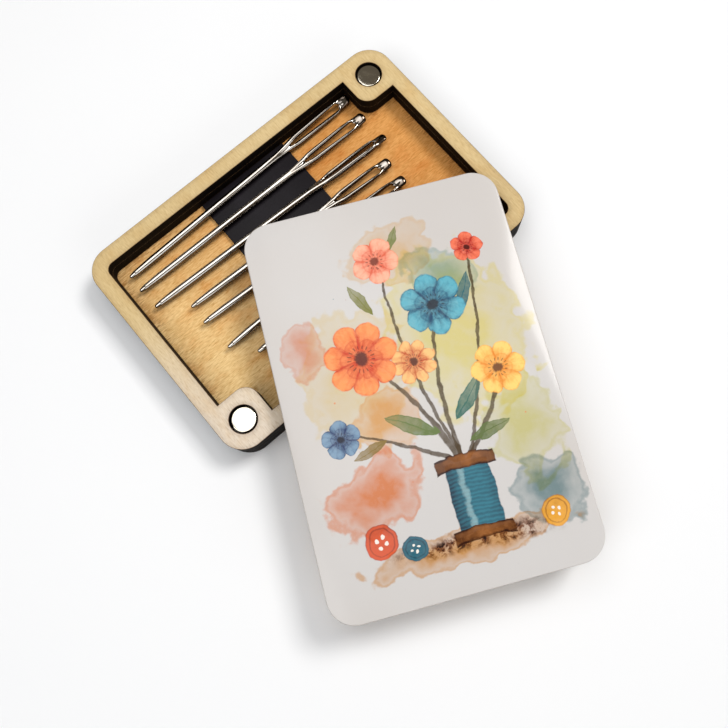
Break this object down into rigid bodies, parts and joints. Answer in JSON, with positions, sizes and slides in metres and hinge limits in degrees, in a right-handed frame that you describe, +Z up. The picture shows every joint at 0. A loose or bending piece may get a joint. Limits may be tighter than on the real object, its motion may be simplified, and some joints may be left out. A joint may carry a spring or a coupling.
{
  "type": "magnetic needle minder",
  "caption": "Flat plywood needle case with a magnetic tape across its pocket, large-eye needles and a loose printed lid held by corner magnets, laid open and turned.",
  "frame": {"origin": "centre of the base's underside, on the surface it rests on", "axes": "+X along the base's long side towards its right end, +Y to its rear, +Z up; the lid lies over the front"},
  "size_m": [0.0941, 0.1253, 0.0151],
  "materials": {
    "plywood": "bare birch veneer, laser-charred edges",
    "printed_board": "gloss white coated hardboard, printed",
    "tape": "satin black vinyl face",
    "adhesive": "clear glue film",
    "magnet": "bright nickel plate",
    "needle": "polished nickel-plated steel"
  },
  "bodies": {
    "base": {"base_floor": "plywood", "lower_frame": "plywood", "upper_frame": "plywood", "base_magnet_rear": "magnet", "base_magnet_front": "magnet", "tape_adhesive": "adhesive", "magnetic_tape": "tape"},
    "lid": {"lid_panel": "printed_board", "lid_backing": "plywood", "lid_magnet_rear": "magnet", "lid_magnet_front": "magnet"},
    "long_needle_1": {"long_needle_1": "needle"},
    "long_needle_2": {"long_needle_2": "needle"},
    "long_needle_3": {"long_needle_3": "needle"},
    "medium_needle_1": {"medium_needle_1": "needle"},
    "medium_needle_2": {"medium_needle_2": "needle"},
    "medium_needle_3": {"medium_needle_3": "needle"},
    "short_needle_1": {"short_needle_1": "needle"},
    "short_needle_2": {"short_needle_2": "needle"},
    "short_needle_3": {"short_needle_3": "needle"}
  },
  "joints": [
    {"name": "lid_swing", "type": "hinge", "parent": "base", "child": "lid", "pos_m": [0.0327, -0.0255, 0.0091], "axis": [0, 0, 1], "range_deg": [-64.1, 0]},
    {"name": "long_needle_1_lift", "type": "slide", "parent": "base", "child": "long_needle_1", "axis": [0, 0, 1], "range_m": [0, 0.0025]},
    {"name": "long_needle_2_lift", "type": "slide", "parent": "base", "child": "long_needle_2", "axis": [0, 0, 1], "range_m": [0, 0.0025]},
    {"name": "long_needle_3_lift", "type": "slide", "parent": "base", "child": "long_needle_3", "axis": [0, 0, 1], "range_m": [0, 0.0025]},
    {"name": "medium_needle_1_lift", "type": "slide", "parent": "base", "child": "medium_needle_1", "axis": [0, 0, 1], "range_m": [0, 0.0025]},
    {"name": "medium_needle_2_lift", "type": "slide", "parent": "base", "child": "medium_needle_2", "axis": [0, 0, 1], "range_m": [0, 0.0025]},
    {"name": "medium_needle_3_lift", "type": "slide", "parent": "base", "child": "medium_needle_3", "axis": [0, 0, 1], "range_m": [0, 0.0025]},
    {"name": "short_needle_1_lift", "type": "slide", "parent": "base", "child": "short_needle_1", "axis": [0, 0, 1], "range_m": [0, 0.0025]},
    {"name": "short_needle_2_lift", "type": "slide", "parent": "base", "child": "short_needle_2", "axis": [0, 0, 1], "range_m": [0, 0.0025]},
    {"name": "short_needle_3_lift", "type": "slide", "parent": "base", "child": "short_needle_3", "axis": [0, 0, 1], "range_m": [0, 0.0025]}
  ]
}
